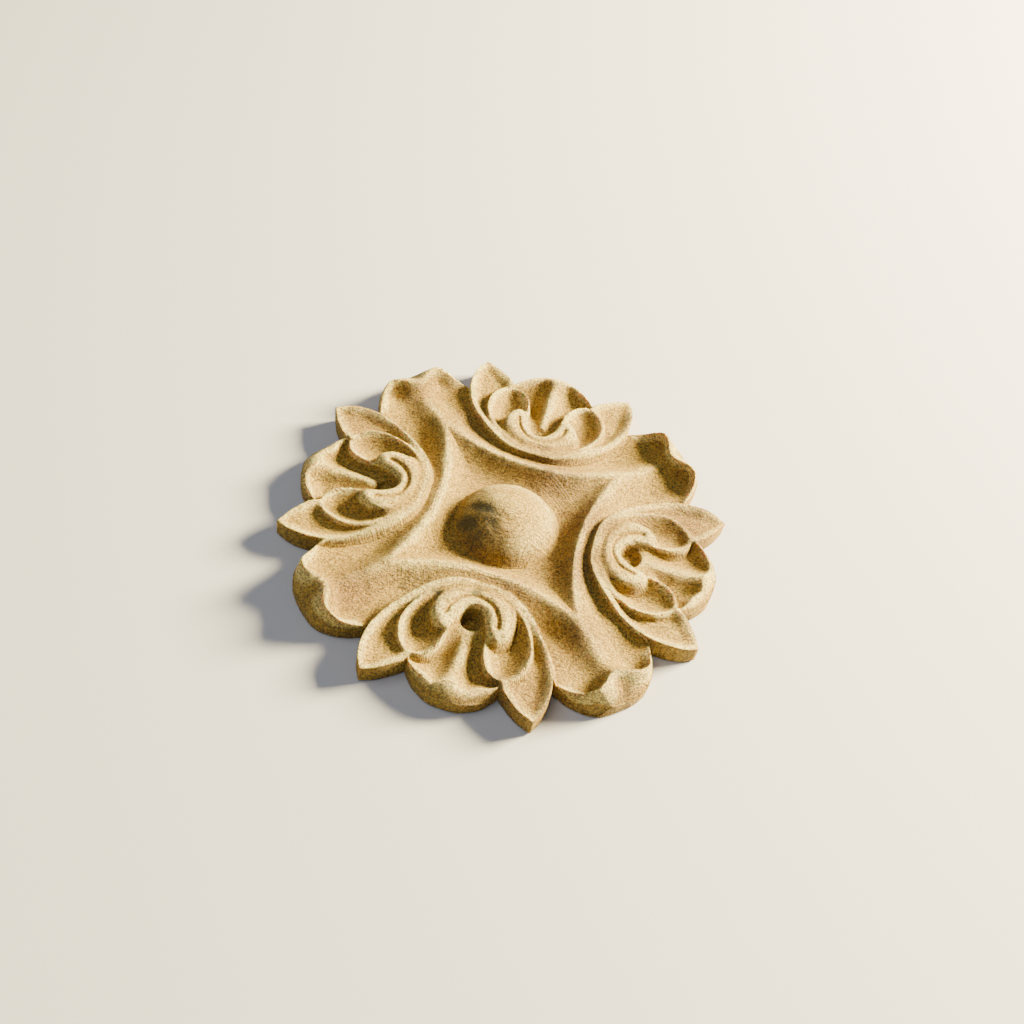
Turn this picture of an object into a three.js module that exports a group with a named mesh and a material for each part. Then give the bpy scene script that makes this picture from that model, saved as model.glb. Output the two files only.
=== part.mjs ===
// Carved wood onlay: a round rosette cut in relief from one board, flat on the back.
// The origin is the middle of the flat back and +Z comes out of the carved face. A palmette
// lies along each of +X, +Y, -X and -Y, a leaf arm along each diagonal, and a dome in the middle.
import * as THREE from "three";
import { mergeVertices } from "three/addons/utils/BufferGeometryUtils.js";

// Overall sizes, in millimetres
const tipRadius = 50; // centre to the points of the pointed leaves
const thinnestWood = 1.6; // least wood left under the deepest cut

// Dome
const domeRadius = 12.5; // radius of the ball that the dome is a cap of
const domeHeight = 10.5;
const domeFillet = 0.6; // hollow round the dome's foot

// Ground between the leaves: heights over the back
const floorHeight = 2.7; // four-pointed floor round the dome
const floorRise = 3.3; // how much higher that floor is where two ridges meet
const crestHeight = 6.5; // bow-shaped ridge round each palmette
const crestWidth = 8; // how far the ridge takes to fall to the floor
const channelHeight = 5.6; // narrow channel between ridge and palmette
const scoopHeight = 3.2; // the same channel where it widens beside an arm
const armRidgeHeight = 4.8; // end of the arm's middle ridge, under its turned-up tip

// Turned-up tip of each arm
const armTipHeight = 7.6;
const armSideHeight = 4.3;
const armTipPinch = 0.3; // dip of the rim at its middle
const coveReach = 0.1; // how far inside its rim a tip turns up, in shares of the tip radius
const lipFall = 0.68; // share of its height that the lip loses before the side wall

// Palmette: heights over the back of its leaves' rims, and how deep each is hollowed
const calyxHeight = 7; // common base of the pointed and the spoon leaves
const pointedTipHeight = 4.7;
const pointedHollow = 1.5;
const spoonHeight = 5.9;
const spoonHollow = 2.6;
const voluteHeight = 6.95;
const voluteCrown = 0.5; // how much higher a volute is along its middle
const grooveDepth = 0.55; // the groove that follows each volute's bend
const grooveWidth = 0.0115; // in shares of the tip radius
const eyeHeight = 2.6; // floor of the eye between the two volutes
const lobeHeight = 4.9;
const lobeRimInset = 2.2; // how far inside its outline the middle lobe's rim lies
const lobePeak = 0.9; // how much higher that rim is in its middle
const lobeHollowHeight = 2.7;
const lobeThroatHeight = 4.9; // bridge between the eye and the lobe's hollows
const ribHeight = 4.9; // top of the middle lobe's rib
const wallWidth = 0.9; // plan width of the steep wall under a leaf's rim
const voluteWallWidth = 1.7; // and under a volute

// Steps of the mesh: the finest grid, and how far a face may stand off the true surface
const gridSteps = 64;
const carvingTolerance = 0.32;
const roundRowRadius = 0.925; // radius of the rows' round arcs, in shares of the tip radius

// Half outlines, in shares of the tip radius, as [across, outwards] from the middle line of the
// leaf round to that line again. A third value marks a sharp corner. What lies under the next
// leaf up is drawn simply.
const calyxHalf = [
  [0, 0.383], [0.09, 0.388], [0.15, 0.41], [0.205, 0.447], [0.26, 0.5], [0.338, 0.6],
  [0.385, 0.7], [0.399, 0.8], [0.388, 0.88], [0.36, 0.937, 1], [0.3, 0.912], [0.25, 0.878],
  [0.208, 0.843, 1], [0.17, 0.74], [0.12, 0.63], [0.05, 0.55], [0, 0.53],
];
const lobeHalf = [
  [0, 0.95], [0.07, 0.941], [0.13, 0.91], [0.175, 0.865], [0.2, 0.82], [0.2, 0.7],
  [0.1, 0.56], [0, 0.52],
];
const spoonHalf = [
  [0, 0.402], [0.08, 0.412], [0.13, 0.437], [0.18, 0.477], [0.228, 0.527], [0.264, 0.587],
  [0.281, 0.655], [0.27, 0.727], [0.235, 0.78], [0.183, 0.802], [0.13, 0.784],
  [0.097, 0.739], [0.082, 0.68], [0.078, 0.62], [0.06, 0.52], [0, 0.46],
];
const voluteHalf = [
  [0, 0.42], [0.08, 0.43], [0.128, 0.457], [0.158, 0.5], [0.172, 0.55], [0.165, 0.605],
  [0.13, 0.645], [0.094, 0.635], [0.073, 0.595], [0.06, 0.553], [0.036, 0.519], [0, 0.505],
];
const armTipHalf = [
  [0, 0.99], [0.06, 0.986], [0.115, 0.97], [0.163, 0.935], [0.2, 0.885], [0.222, 0.835],
  [0.232, 0.8], [0.2, 0.7], [0, 0.6],
];

// Rim of an arm's turned-up tip, from its pinched middle over one lobe to the side
const armRimPoints = [
  [0, 0.874], [0.035, 0.884], [0.07, 0.906], [0.115, 0.92], [0.158, 0.905], [0.19, 0.872],
  [0.215, 0.83], [0.225, 0.81],
];

// Groove along a volute, from across the middle line to the volute's end
const groovePoints = [
  [-0.05, 0.478], [0, 0.47], [0.05, 0.484], [0.083, 0.513], [0.103, 0.548], [0.112, 0.585],
];

// Ridge round a palmette, a bow: its nearest point to the centre and how fast it opens
const bowStart = 0.322;
const bowOpening = 0.57;
const crestSoftness = 0.006; // rounding of the ridge on its side towards the dome
const ridgeSoftness = 0.007; // and on its other side
const scoopWidth = 0.12; // the most that a channel's slope takes up
const valleySoftness = 0.03; // rounding where two slopes meet

// Eye of the palmette, a round hollow
const eyeCentre = 0.558;
const eyeRadius = 0.058;
const eyeWall = 0.024;

// 0 at and below `from`, 1 at and above `to`, with a smooth S between them
function ease(x, from, to) {
  const t = Math.min(Math.max((x - from) / (to - from), 0), 1);
  return t * t * (3 - 2 * t);
}

function mix(a, b, t) {
  return a + (b - a) * t;
}

// The lesser of a and b, rounded where they nearly meet
function softMin(a, b, width) {
  return Math.min(a, b) - Math.max(width - Math.abs(a - b), 0) ** 2 / (4 * width);
}

// Smooth line through points given as [x, y, corner], in the order given
function smoothLine(points, closed) {
  const samples = 10;
  const count = points.length;
  const at = (k) => new THREE.Vector2(...points[(k + count) % count].slice(0, 2));
  const isEnd = (k) => Boolean(points[(k + count) % count][2]) || (!closed && (k === 0 || k === count - 1));
  const line = [];
  for (let k = 0; k < (closed ? count : count - 1); k += 1) {
    const before = isEnd(k) ? at(k).multiplyScalar(2).sub(at(k + 1)) : at(k - 1);
    const after = isEnd((k + 1) % count) ? at(k + 1).multiplyScalar(2).sub(at(k)) : at(k + 2);
    const stretch = new THREE.SplineCurve([before, at(k), at(k + 1), after]);
    for (let n = 0; n < samples; n += 1) {
      line.push(stretch.getPoint((1 + n / samples) / 3));
    }
  }
  if (!closed) {
    line.push(at(count - 1));
  }
  return line;
}

// Whole outline from its half: the mirror image of the half closes it
function wholeOutline(half) {
  const sides = half.filter(([across]) => across > 0);
  const mirrored = sides.map(([across, out, corner]) => [-across, out, corner]);
  return smoothLine([...half, ...mirrored.reverse()], true);
}

// Distance from a point to a line, positive inside a closed one and negative outside
function distanceTo(line, closed, x, y) {
  let nearest = Infinity;
  let inside = false;
  for (let k = closed ? 0 : 1; k < line.length; k += 1) {
    const a = line[(k + line.length - 1) % line.length];
    const b = line[k];
    const ex = b.x - a.x;
    const ey = b.y - a.y;
    const t = Math.min(Math.max(((x - a.x) * ex + (y - a.y) * ey) / (ex * ex + ey * ey), 0), 1);
    nearest = Math.min(nearest, Math.hypot(x - a.x - t * ex, y - a.y - t * ey));
    if (a.y > y !== b.y > y && x < a.x + ((y - a.y) / ey) * ex) {
      inside = !inside;
    }
  }
  return closed && !inside ? -nearest : nearest;
}

const calyxLine = wholeOutline(calyxHalf);
const lobeLine = wholeOutline(lobeHalf);
const spoonLine = wholeOutline(spoonHalf);
const voluteLine = wholeOutline(voluteHalf);
const armTipLine = wholeOutline(armTipHalf);
const armRimLine = smoothLine(armRimPoints, false);
const grooveLine = smoothLine(groovePoints, false);

// How far out the arm's rim lies, at a distance across the arm
function armRimOut(across) {
  const next = armRimLine.findIndex((point) => point.x > across);
  if (next < 1) {
    return next === 0 ? armRimLine[0].y : armRimLine.at(-1).y;
  }
  const a = armRimLine[next - 1];
  const b = armRimLine[next];
  return mix(a.y, b.y, (across - a.x) / (b.x - a.x));
}

// Share of the full height that a leaf has at a distance inside its outline: its wall
function leafWall(inside, width) {
  return ease(inside * tipRadius, -0.67 * width, 0.33 * width);
}

// Height of the ground at a point of the eighth between a palmette's middle line, where
// across is 0, and an arm's middle line, where across equals out
function groundHeight(across, out, calyx) {
  const armAcross = (out - across) * Math.SQRT1_2;
  const armOut = (out + across) * Math.SQRT1_2;
  const fromBow = (out - bowStart - bowOpening * across ** 2) / Math.hypot(1, 2 * bowOpening * across);
  if (fromBow < 0) {
    const away = Math.hypot(fromBow, crestSoftness) - crestSoftness;
    const floor = floorHeight + floorRise * Math.min(Math.max((armOut - 0.2) / 0.42, 0), 1) ** 1.3;
    return mix(floor, crestHeight, Math.max(1 - (away * tipRadius) / crestWidth, 0) ** 3);
  }
  const fromRidge = Math.max(softMin(fromBow, armAcross, valleySoftness), 0);
  const away = Math.hypot(fromRidge, ridgeSoftness) - ridgeSoftness;
  const width = softMin(away + Math.max(-calyx, 0) + 1e-6, scoopWidth, valleySoftness);
  const crest = mix(crestHeight, armRidgeHeight, ease(armOut, 0.54, 0.82));
  const low = mix(channelHeight, scoopHeight, ease(armOut, 0.32, 0.6));
  const atCrest = ease(0, -0.25, 0.92);
  return mix(crest, low, (ease(away / width, -0.25, 0.92) - atCrest) / (1 - atCrest));
}

// Height with the arm's turned-up tip: a cove up to its rim, and a sloping lip outside the rim
function withArmTip(height, across, out) {
  const rim = distanceTo(armRimLine, false, across, out);
  const side = mix(armTipHeight, armSideHeight, ease(across, 0.12, 0.225));
  const rimHeight = side - armTipPinch * (1 - ease(across, 0, 0.07));
  if (out > armRimOut(across) && across < 0.245) {
    const edge = Math.max(distanceTo(armTipLine, true, across, out), 0);
    return rimHeight * (1 - lipFall * (rim / (rim + edge + 1e-6)) ** 1.6);
  }
  return height + Math.max(rimHeight - height, 0) * Math.max(1 - rim / coveReach, 0) ** 4;
}

// Height with the dome, blended into the ground by a small hollow
function withDome(height, fromCentre) {
  const cap = Math.sqrt(Math.max(domeRadius ** 2 - (fromCentre * tipRadius) ** 2, 0));
  const dome = domeHeight - domeRadius + cap;
  const t = Math.min(Math.max(0.5 + (0.5 * (dome - height)) / domeFillet, 0), 1);
  return mix(height, dome, t) + domeFillet * t * (1 - t);
}

// Middle lobe of a palmette: a ribbed, hollowed leaf end. Its rim lies inside its outline, which
// is close to out = 0.95 - 6.19 across^2.4, and the face outside the rim slopes down.
function lobeSurface(across, out) {
  const inset = lobeRimInset / tipRadius;
  const middle = 1 - ease(across, 0, 0.075);
  const edgeOut = 0.95 - 6.19 * across ** 2.4;
  const rimOut = edgeOut - inset * (1 + 0.6 * middle) * (1 - 0.8 * ease(across, 0.1, 0.2));
  const rim = lobeHeight + lobePeak * middle;
  if (out > rimOut) {
    return rim * (1 - 0.4 * Math.min((out - rimOut) / (edgeOut - rimOut + 0.004), 1) ** 1.7);
  }
  const ribWidth = mix(0.02, 0.05, ease(out, 0.58, 0.85));
  const rib = Math.exp(-((across / ribWidth) ** 2)) * ease(out, 0.56, 0.66);
  const hollow = mix(lobeThroatHeight, lobeHollowHeight, ease(out, 0.61, 0.75));
  const ribbed = mix(hollow, ribHeight - 0.3 * ease(out, 0.62, 0.88), rib);
  return mix(ribbed, rim, Math.max(1 - (rimOut - out) / 0.085, 0) ** 2);
}

// Height of the carved face over the flat back, at a place in shares of the tip radius
function carvedHeight(across, out) {
  const armAcross = (out - across) * Math.SQRT1_2;
  const armOut = (out + across) * Math.SQRT1_2;
  const calyx = distanceTo(calyxLine, true, across, out);
  const lobe = distanceTo(lobeLine, true, across, out);
  const spoon = distanceTo(spoonLine, true, across, out);
  const volute = distanceTo(voluteLine, true, across, out);

  let height = groundHeight(across, out, calyx);
  height = withArmTip(height, armAcross, armOut);
  height = withDome(height, Math.hypot(across, out));
  if (out > 0.48) {
    height = mix(height, lobeSurface(across, out), ease(lobe, -0.004, 0.004));
  }

  const tipFall = 0.7 * ease(out, 0.82, 0.93);
  const pointedRim = mix(calyxHeight, pointedTipHeight + 0.7, ease(out, 0.4, 0.66)) - tipFall;
  const pointedDip = pointedHollow * ease(out, 0.46, 0.62) * (1 - 0.4 * ease(out, 0.76, 0.93));
  height = mix(height, pointedRim - pointedDip * ease(calyx, -0.004, 0.065), leafWall(calyx, wallWidth));

  const spoonRim = mix(calyxHeight, spoonHeight, ease(out, 0.42, 0.62)) - 0.5 * ease(out, 0.7, 0.8);
  const toBowl = 1 - Math.min(Math.max(1 - (spoon - 0.003) / 0.095, 0), 1) ** 2;
  const spoonDip = spoonHollow * ease(out, 0.42, 0.56) * toBowl;
  height = mix(height, spoonRim - spoonDip, leafWall(spoon, wallWidth));

  const inEye = ease(eyeRadius - Math.hypot(across, out - eyeCentre), 0, eyeWall);
  height = mix(height, eyeHeight, inEye * (1 - ease(out, 0.58, 0.64)));

  const groove = distanceTo(grooveLine, false, across, out);
  const voluteTop = voluteHeight - 0.2 * ease(out, 0.5, 0.64) + voluteCrown * ease(volute, 0, 0.035);
  const grooved = voluteTop - grooveDepth * Math.exp(-((groove / grooveWidth) ** 2));
  height = mix(height, grooved, leafWall(volute, voluteWallWidth));
  return Math.max(height, thinnestWood);
}

// Whether a place lies inside the outline of the whole rosette
function insideRosette(across, out) {
  const armAcross = (out - across) * Math.SQRT1_2;
  const armOut = (out + across) * Math.SQRT1_2;
  return (
    Math.hypot(across, out) < 0.8 ||
    distanceTo(calyxLine, true, across, out) > 0 ||
    distanceTo(lobeLine, true, across, out) > 0 ||
    distanceTo(armTipLine, true, armAcross, armOut) > 0
  );
}

// Radius of the outline at an angle from the palmette's middle line
function outlineRadius(angle) {
  let inner = 0.8;
  let outer = 1.05;
  for (let k = 0; k < 30; k += 1) {
    const middle = (inner + outer) / 2;
    if (insideRosette(middle * Math.sin(angle), middle * Math.cos(angle))) {
      inner = middle;
    } else {
      outer = middle;
    }
  }
  return inner;
}

// Angles of the outline's creases: the notch beside the middle lobe, the pointed leaf's tip,
// and the gap between that leaf and the arm. Grid columns run through all three.
const tipPoint = calyxHalf.findIndex((point) => point[2]);
const notchPoint = calyxHalf.findLastIndex((point) => point[2]);
const angleOf = ([across, out]) => Math.atan2(across, out);
const tipAngle = angleOf(calyxHalf[tipPoint]);
const notchAngle = angleOf(calyxHalf[notchPoint]);
let gapAngle = tipAngle;
for (let angle = tipAngle; angle < Math.PI / 5; angle += 0.001) {
  if (outlineRadius(angle) < outlineRadius(gapAngle)) {
    gapAngle = angle;
  }
}
const creaseAngles = [0, notchAngle, tipAngle, gapAngle, Math.PI / 4];
const creaseColumns = [0, 5 / 16, 15 / 32, 5 / 8, 1];

function columnAngle(column) {
  const k = Math.max(creaseColumns.findIndex((crease) => crease >= column), 1);
  const share = (column - creaseColumns[k - 1]) / (creaseColumns[k] - creaseColumns[k - 1]);
  return mix(creaseAngles[k - 1], creaseAngles[k], share);
}

// Grid over one eighth, of points [i, j]. Row i lies at i / gridSteps of the way out: a round arc
// near the centre that takes on the outline's shape towards the edge. Column j runs straight out,
// at j / gridSteps of the turn from the palmette to the arm. All of row 0 is the centre.
const edgeRadii = new Map();
function gridPoint([i, j]) {
  const column = j / gridSteps;
  if (!edgeRadii.has(column)) {
    edgeRadii.set(column, outlineRadius(columnAngle(column)));
  }
  const row = i / gridSteps;
  const radius = row * mix(roundRowRadius, edgeRadii.get(column), row ** 3);
  const angle = columnAngle(column);
  const onArm = j === gridSteps;
  const across = onArm ? radius * Math.SQRT1_2 : radius * Math.sin(angle);
  const out = onArm ? across : radius * Math.cos(angle);
  return new THREE.Vector3(across * tipRadius, out * tipRadius, carvedHeight(across, out));
}

const keyOf = ([i, j]) => i * (gridSteps + 1) + j;
const middleOf = (a, b) => [(a[0] + b[0]) / 2, (a[1] + b[1]) / 2];
const onGrid = (point) => Number.isInteger(point[0]) && Number.isInteger(point[1]);
const knownPoints = new Map();
function placed(point) {
  if (!knownPoints.has(keyOf(point))) {
    knownPoints.set(keyOf(point), gridPoint(point));
  }
  return knownPoints.get(keyOf(point));
}

// How far the true surface or grid stands off the middle of a straight edge from a to b
function standOff(a, b, middle) {
  const chord = placed(a).clone().add(placed(b)).multiplyScalar(0.5);
  const heightAt = (x, y) => carvedHeight(x / tipRadius, y / tipRadius);
  const probe = 0.1;
  const height = heightAt(chord.x, chord.y);
  const slopeX = (heightAt(chord.x + probe, chord.y) - height) / probe;
  const slopeY = (heightAt(chord.x, chord.y + probe) - height) / probe;
  const offSurface = Math.abs(height - chord.z) / Math.hypot(1, slopeX, slopeY);
  const inPlan = Math.hypot(placed(middle).x - chord.x, placed(middle).y - chord.y);
  return Math.max(offSurface, inPlan);
}

// Faces of one eighth. Each triangle is [end, end, corner] of its longest side, and splitting
// that side's middle gives two like it, so neighbours always meet edge to edge.
function eighthFaces() {
  const first = [0, 0];
  const last = [gridSteps, gridSteps];
  const levels = [[[first, last, [gridSteps, 0]], [last, first, [0, gridSteps]]]];
  while (onGrid(middleOf(levels.at(-1)[0][0], levels.at(-1)[0][1]))) {
    levels.push(
      levels.at(-1).flatMap(([a, b, c]) => {
        const middle = middleOf(a, b);
        return [[c, a, middle], [b, c, middle]];
      }),
    );
  }
  const worst = new Map();
  const worstAt = (point) => (onGrid(point) ? worst.get(keyOf(point)) ?? 0 : 0);
  for (const level of levels.slice(0, -1).reverse()) {
    for (const [a, b, c] of level) {
      const middle = middleOf(a, b);
      const own = worst.get(keyOf(middle)) ?? standOff(a, b, middle);
      worst.set(keyOf(middle), Math.max(own, worstAt(middleOf(c, a)), worstAt(middleOf(b, c))));
    }
  }
  const faces = [];
  const keepOrSplit = ([a, b, c]) => {
    const middle = middleOf(a, b);
    if (onGrid(middle) && worst.get(keyOf(middle)) > carvingTolerance) {
      keepOrSplit([c, a, middle]);
      keepOrSplit([b, c, middle]);
    } else {
      faces.push([a, b, c]);
    }
  };
  levels[0].forEach(keepOrSplit);
  const atCentre = (point) => point[0] === 0;
  return faces.filter((face) => face.filter(atCentre).length < 2);
}

// The whole rosette: eight copies of the eighth, turned and mirrored, each with its stretch of
// upright side wall and its share of the flat back
function rosetteGeometry() {
  const positions = [];
  const faces = eighthFaces();
  const edgePoints = faces.flat().filter((point) => point[0] === gridSteps);
  const edge = [...new Set(edgePoints.map((point) => point[1]))];
  edge.sort((a, b) => a - b);
  for (let copy = 0; copy < 8; copy += 1) {
    const signX = copy & 1 ? -1 : 1;
    const signY = copy & 2 ? -1 : 1;
    const swapped = Boolean(copy & 4);
    const turnedOver = signX * signY * (swapped ? -1 : 1) < 0;
    const place = ({ x, y, z }) => {
      return new THREE.Vector3(signX * (swapped ? y : x), signY * (swapped ? x : y), z);
    };
    const addFace = (a, b, c) => {
      for (const corner of turnedOver ? [a, c, b] : [a, b, c]) {
        positions.push(...place(corner).toArray());
      }
    };
    for (const face of faces) {
      const [a, b, c] = face.map(placed);
      const upwards = (b.x - a.x) * (c.y - a.y) - (b.y - a.y) * (c.x - a.x) > 0;
      addFace(a, upwards ? b : c, upwards ? c : b);
    }
    const centre = new THREE.Vector3(0, 0, 0);
    for (let k = 1; k < edge.length; k += 1) {
      const first = placed([gridSteps, edge[k - 1]]);
      const second = placed([gridSteps, edge[k]]);
      const firstFoot = new THREE.Vector3(first.x, first.y, 0);
      const secondFoot = new THREE.Vector3(second.x, second.y, 0);
      addFace(first, second, secondFoot);
      addFace(first, secondFoot, firstFoot);
      addFace(centre, firstFoot, secondFoot);
    }
  }
  const loose = new THREE.BufferGeometry();
  loose.setAttribute("position", new THREE.Float32BufferAttribute(positions, 3));
  const geometry = mergeVertices(loose, 1e-4);
  geometry.computeVertexNormals();
  return geometry;
}

const carvedWood = new THREE.MeshStandardMaterial({ color: 0xcfa873, roughness: 0.75, metalness: 0 });
const rosette = new THREE.Mesh(rosetteGeometry(), carvedWood);
rosette.name = "carved_rosette";

const onlay = new THREE.Group();
onlay.add(rosette);

export default onlay;
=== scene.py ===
import math

import bpy
import numpy as np
from mathutils import Matrix, Vector


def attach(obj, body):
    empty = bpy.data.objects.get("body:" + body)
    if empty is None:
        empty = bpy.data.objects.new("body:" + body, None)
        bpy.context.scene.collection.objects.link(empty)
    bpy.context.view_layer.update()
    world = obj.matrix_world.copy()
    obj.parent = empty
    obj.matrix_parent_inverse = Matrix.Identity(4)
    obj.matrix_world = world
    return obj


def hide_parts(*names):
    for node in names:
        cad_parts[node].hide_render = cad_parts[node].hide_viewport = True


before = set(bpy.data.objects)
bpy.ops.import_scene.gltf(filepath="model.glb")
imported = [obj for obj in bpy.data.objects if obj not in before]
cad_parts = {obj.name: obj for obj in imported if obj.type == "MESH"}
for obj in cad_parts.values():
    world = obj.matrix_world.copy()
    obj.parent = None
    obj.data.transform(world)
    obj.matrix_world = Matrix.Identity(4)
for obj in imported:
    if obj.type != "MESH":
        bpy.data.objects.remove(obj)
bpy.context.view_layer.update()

# Camera
# A phone held close over the onlay, a little to the right of its front, and tilted in the hand.
# The lens and the place come from the four-fold symmetry of the leaf tips.
MM = 0.001
camera_aim = Vector((0.1, 3.5, 4.0)) * MM
camera_distance = 278.2 * MM
camera_elevation = math.radians(50.42)
camera_turn = math.radians(5.87)
camera_roll = math.radians(12.22)
camera_data = bpy.data.cameras.new("camera")
camera_data.sensor_width = 36.0
camera_data.lens = 43.98
camera_data.clip_start = 0.01
camera = bpy.data.objects.new("camera", camera_data)
bpy.context.scene.collection.objects.link(camera)
camera_side = Vector((
    math.cos(camera_elevation) * math.sin(camera_turn),
    -math.cos(camera_elevation) * math.cos(camera_turn),
    math.sin(camera_elevation),
))
camera_look = (-camera_side).to_track_quat("-Z", "Y").to_matrix().to_4x4()
camera_place = Matrix.Translation(camera_aim + camera_side * camera_distance)
camera.matrix_world = camera_place @ camera_look @ Matrix.Rotation(camera_roll, 4, "Z")
bpy.context.scene.camera = camera

# Carved rosette: the plan of its leaves
# Every leaf is the same in each quarter and mirrored about its own middle line, so one half
# outline serves all its copies. The outlines are shares of the tip radius, as [across, outwards].
tip_radius = 50.0
calyx_half = [
    (0, 0.383), (0.09, 0.388), (0.15, 0.41), (0.205, 0.447), (0.26, 0.5), (0.338, 0.6),
    (0.385, 0.7), (0.399, 0.8), (0.388, 0.88), (0.36, 0.937, "corner"), (0.3, 0.912),
    (0.25, 0.878), (0.208, 0.843, "corner"), (0.17, 0.74), (0.12, 0.63), (0.05, 0.55), (0, 0.53),
]
lobe_half = [
    (0, 0.95), (0.07, 0.941), (0.13, 0.91), (0.175, 0.865), (0.2, 0.82), (0.2, 0.7),
    (0.1, 0.56), (0, 0.52),
]
spoon_half = [
    (0, 0.402), (0.08, 0.412), (0.13, 0.437), (0.18, 0.477), (0.228, 0.527), (0.264, 0.587),
    (0.281, 0.655), (0.27, 0.727), (0.235, 0.78), (0.183, 0.802), (0.13, 0.784),
    (0.097, 0.739), (0.082, 0.68), (0.078, 0.62), (0.06, 0.52), (0, 0.46),
]
volute_half = [
    (0, 0.42), (0.08, 0.43), (0.128, 0.457), (0.158, 0.5), (0.172, 0.55), (0.165, 0.605),
    (0.13, 0.645), (0.094, 0.635), (0.073, 0.595), (0.06, 0.553), (0.036, 0.519), (0, 0.505),
]
groove_points = [
    (-0.05, 0.478), (0, 0.47), (0.05, 0.484), (0.083, 0.513), (0.103, 0.548), (0.112, 0.585),
]
arm_tip_half = [
    (0, 0.99), (0.06, 0.986), (0.115, 0.97), (0.163, 0.935), (0.2, 0.885), (0.222, 0.835),
    (0.232, 0.8), (0.2, 0.7), (0, 0.6),
]
arm_rim_points = [
    (0, 0.874), (0.035, 0.884), (0.07, 0.906), (0.115, 0.92), (0.158, 0.905), (0.19, 0.872),
    (0.215, 0.83), (0.225, 0.81),
]


def mix(a, b, share):
    """The value that lies a share of the way from a to b."""
    return a + (b - a) * share


def ease(x, start, end):
    """0 before start, 1 past end, and 3t^2 - 2t^3 between them, where t is the way through."""
    t = np.clip((x - start) / (end - start), 0, 1)
    return t * t * (3 - 2 * t)


def soft_min(a, b, width):
    """The lesser of a and b, rounded by (width - |a - b|)^2 / 4 width where they nearly meet."""
    return np.minimum(a, b) - np.maximum(width - np.abs(a - b), 0) ** 2 / (4 * width)


def smooth_line(points, closed, samples=10):
    """A Catmull-Rom spline: between two points, a cubic whose slope at each is half the step
    between that point's neighbours. At a corner and at an open end the neighbour is mirrored."""
    places = np.array([point[:2] for point in points], float)
    count = len(points)
    t = np.arange(samples)[:, None] / samples
    stretches = []
    for k in range(count if closed else count - 1):
        here, there = places[k], places[(k + 1) % count]
        here_ends = len(points[k]) > 2 or (not closed and k == 0)
        there_ends = len(points[(k + 1) % count]) > 2 or (not closed and k == count - 2)
        before = 2 * here - there if here_ends else places[k - 1]
        after = 2 * there - here if there_ends else places[(k + 2) % count]
        bend = 2 * before - 5 * here + 4 * there - after
        twist = -before + 3 * here - 3 * there + after
        stretches.append(here + 0.5 * ((there - before) * t + bend * t**2 + twist * t**3))
    if not closed:
        stretches.append(places[-1:])
    return np.vstack(stretches)


def whole_outline(half):
    """The closed outline of a leaf from its half and the half's mirror image."""
    mirrored = [(-point[0], *point[1:]) for point in reversed(half) if point[0] > 0]
    return smooth_line([*half, *mirrored], True)


def distance_to(line, closed, x, y):
    """Distance from each place to the nearest of the line's straight steps, counted positive
    inside a closed line and negative outside it."""
    nearest = np.full(x.shape, np.inf)
    inside = np.zeros(x.shape, bool)
    ends = np.roll(line, -1, axis=0) if closed else line[1:]
    for (ax, ay), (bx, by) in zip(line, ends):
        ex, ey = bx - ax, by - ay
        t = np.clip(((x - ax) * ex + (y - ay) * ey) / (ex * ex + ey * ey), 0, 1)
        nearest = np.minimum(nearest, (x - ax - t * ex) ** 2 + (y - ay - t * ey) ** 2)
        if closed and ay != by:
            crosses = (ay > y) != (by > y)
            inside ^= crosses & (x < ax + (y - ay) / ey * ex)
    nearest = np.sqrt(nearest)
    return np.where(inside, nearest, -nearest) if closed else nearest


calyx_line = whole_outline(calyx_half)
lobe_line = whole_outline(lobe_half)
spoon_line = whole_outline(spoon_half)
volute_line = whole_outline(volute_half)
groove_line = smooth_line(groove_points, False)
arm_tip_line = whole_outline(arm_tip_half)
arm_rim_line = smooth_line(arm_rim_points, False)

# Carved rosette: the ground between the leaves, and the dome
# The floor round the dome runs into four points between bow-shaped ridges, one round each
# palmette. Outside a ridge lie a channel and, beside each arm's middle ridge, two long scoops.
floor_height = 2.7
floor_rise = 3.3
crest_height = 6.5
crest_width = 8.0
channel_height = 5.6
scoop_height = 3.2
shallow_scoop_rise = 1.1
arm_ridge_height = 4.8
dome_radius = 12.5
dome_height = 10.5
dome_fillet = 0.6

# The sizes above are in mm. Those below are shares of the tip radius, and the side slope's start
# and end are shares of the way down.
scoop_width = 0.12
bow_start = 0.322
bow_opening = 0.57
crest_softness = 0.006
ridge_softness = 0.007
valley_softness = 0.03
side_slope_start, side_slope_end = -0.25, 0.92
tiny = 1e-6

# Where along an arm its floor rises, its ridge and channel fall, and a shallow scoop ends
floor_rise_start, floor_rise_end = 0.2, 0.62
floor_rise_power = 1.3
arm_ridge_fall = (0.54, 0.82)
channel_fall = (0.32, 0.6)
shallow_scoop_end = (0.62, 0.8)


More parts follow.
